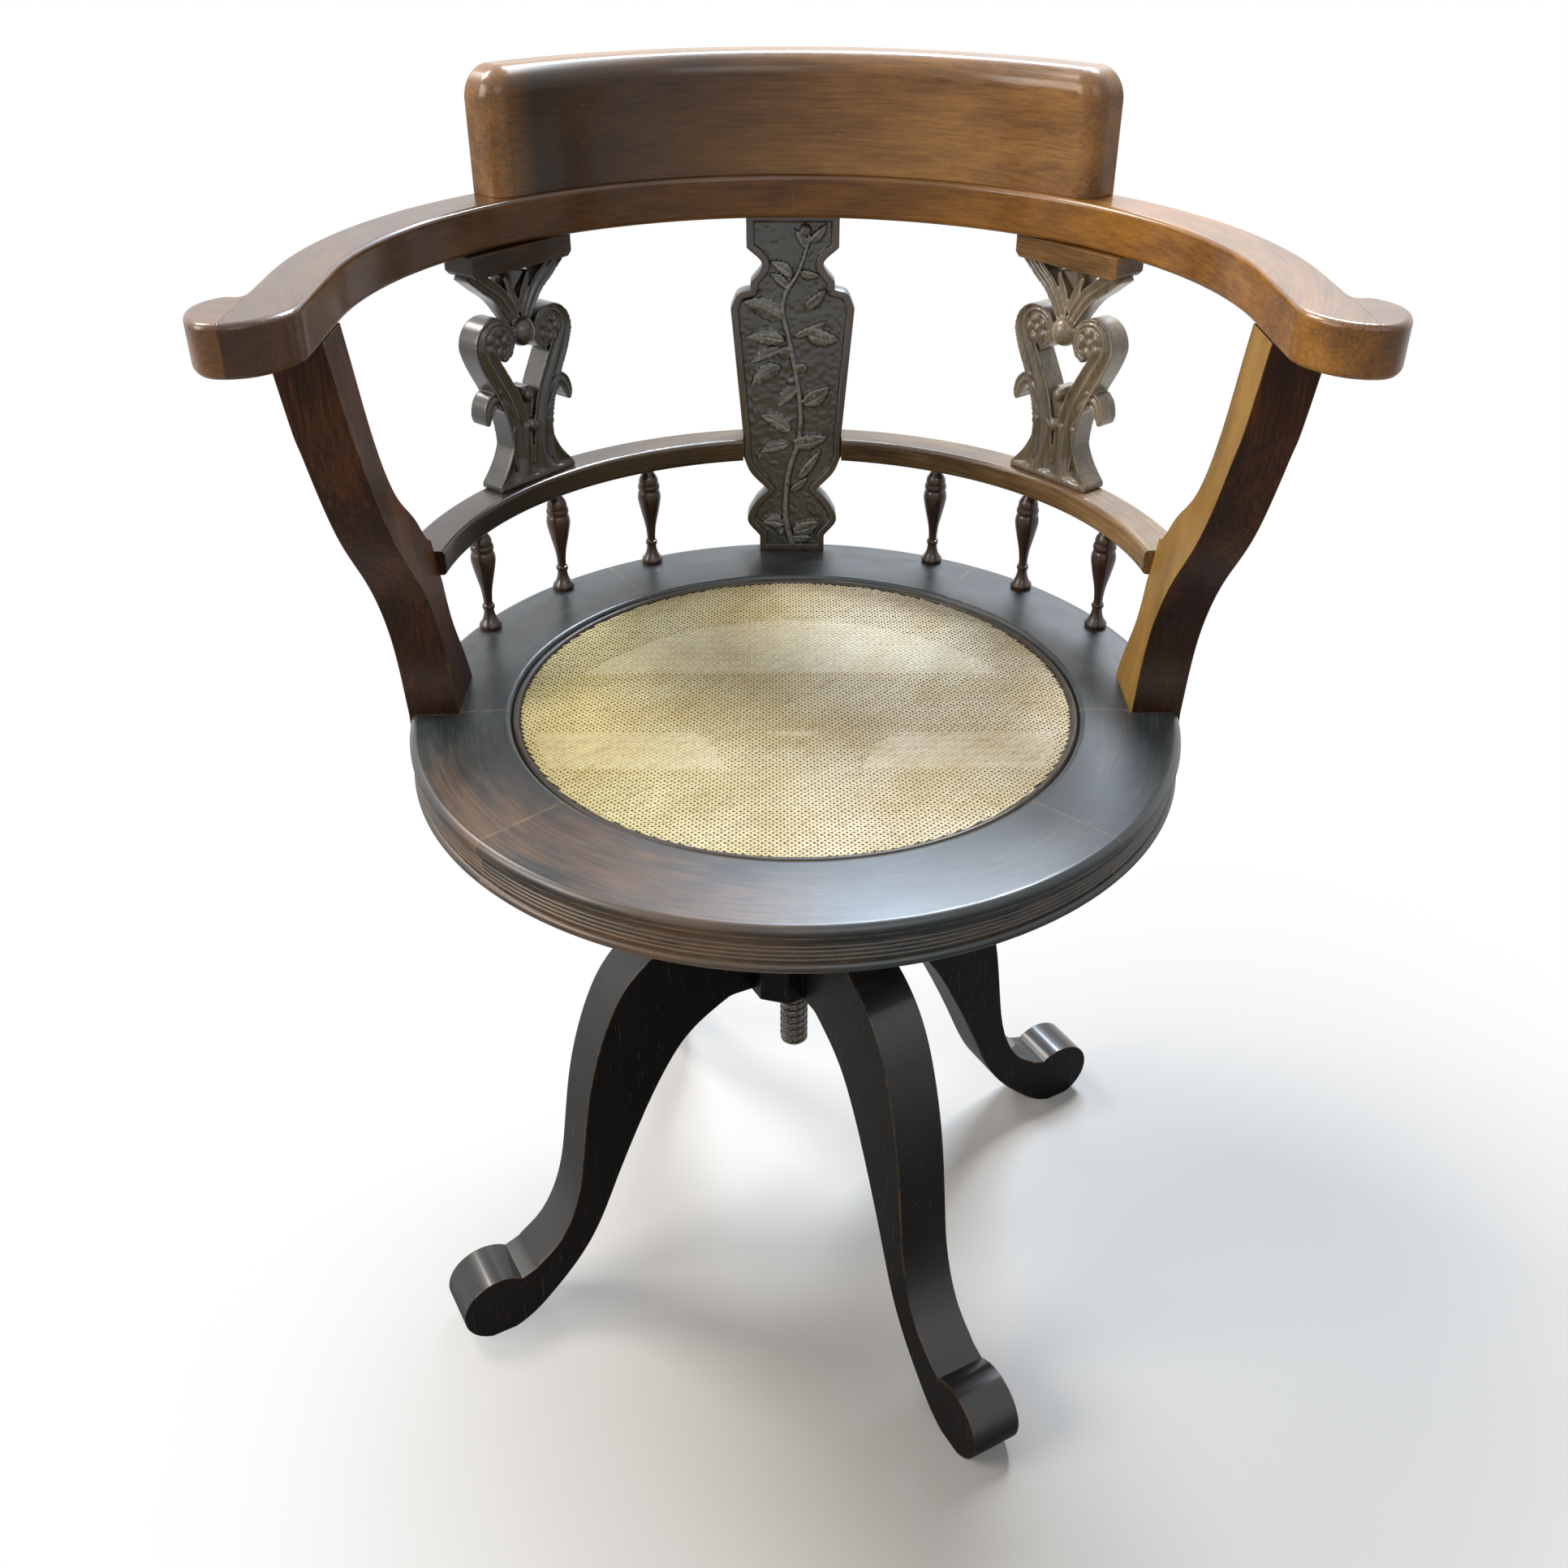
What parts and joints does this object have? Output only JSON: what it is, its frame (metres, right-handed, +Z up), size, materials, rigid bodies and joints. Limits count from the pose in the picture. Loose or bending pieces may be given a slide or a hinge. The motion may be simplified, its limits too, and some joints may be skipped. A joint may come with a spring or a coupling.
{
  "type": "swivel armchair",
  "caption": "Round caned swivel armchair on a screw: bent arm rail and crest rail over carved splats and turned spindles, on sawn scroll-footed legs.",
  "frame": {"origin": "on the floor, under the middle of the chair's overall length and width", "axes": "+Z up, -Y towards the front, where the sitter faces, +X towards the right of a person who looks at the chair's front"},
  "size_m": [0.5936, 0.4964, 0.791],
  "materials": {
    "crest_wood": "aged gloss varnish over golden-brown bent hardwood, worn at the edges",
    "arm_wood": "aged satin varnish, golden where sleeves have rubbed the inner face",
    "frame_wood": "dark aged varnish with worn tan edges",
    "carved_wood": "near-black old varnish, worn tan on the high carving",
    "base_wood": "near-black old varnish with small scratches, worn tan at the edges",
    "dowel_wood": "plain turned birch",
    "cane": "close woven straw-coloured cane",
    "spline": "smooth reed",
    "steel": "bright turned steel, dulled",
    "iron": "black cast iron"
  },
  "bodies": {
    "base": {"bush_screws": "steel", "hub_block": "base_wood", "leg_back_left": "base_wood", "leg_back_right": "base_wood", "leg_dowels": "dowel_wood", "leg_front_left": "base_wood", "leg_front_right": "base_wood", "screw_bush": "steel"},
    "lift": {"swivel_screw": "steel"},
    "seat": {"arm_joint_dowels": "dowel_wood", "arm_pad_left": "arm_wood", "arm_pad_right": "arm_wood", "arm_post_left": "frame_wood", "arm_post_right": "frame_wood", "arm_rail_left": "arm_wood", "arm_rail_right": "arm_wood", "batten_screws": "steel", "cane_panel": "cane", "cane_spline": "spline", "cap_block_left": "frame_wood", "cap_block_right": "frame_wood", "centre_splat": "carved_wood", "crest_dowels": "dowel_wood", "crest_rail": "crest_wood", "middle_rail_left": "frame_wood", "middle_rail_right": "frame_wood", "plate_screws": "steel", "post_screws": "steel", "post_top_dowels": "dowel_wood", "screw_top_nut": "steel", "seat_batten_back": "base_wood", "seat_batten_front": "base_wood", "seat_joint_dowels": "dowel_wood", "seat_rail_back": "frame_wood", "seat_rail_back_left": "frame_wood", "seat_rail_back_right": "frame_wood", "seat_rail_front": "frame_wood", "seat_rail_front_left": "frame_wood", "seat_rail_front_right": "frame_wood", "seat_spider": "iron", "side_splat_left": "carved_wood", "side_splat_right": "carved_wood", "spindle_left_back": "frame_wood", "spindle_left_front": "frame_wood", "spindle_left_middle": "frame_wood", "spindle_right_back": "frame_wood", "spindle_right_front": "frame_wood", "spindle_right_middle": "frame_wood"}
  },
  "joints": [
    {"name": "seat_rise", "type": "slide", "parent": "base", "child": "lift", "axis": [0, 0, 1], "range_m": [0, 0.0965]},
    {"name": "seat_swivel", "type": "hinge", "parent": "lift", "child": "seat", "pos_m": [0, 0, 0.39], "axis": [0, 0, 1], "range_deg": [0, 5760]}
  ],
  "couplings": [
    {"joint": "seat_rise", "follows": "seat_swivel", "m_per_rad": 0.00095493}
  ]
}
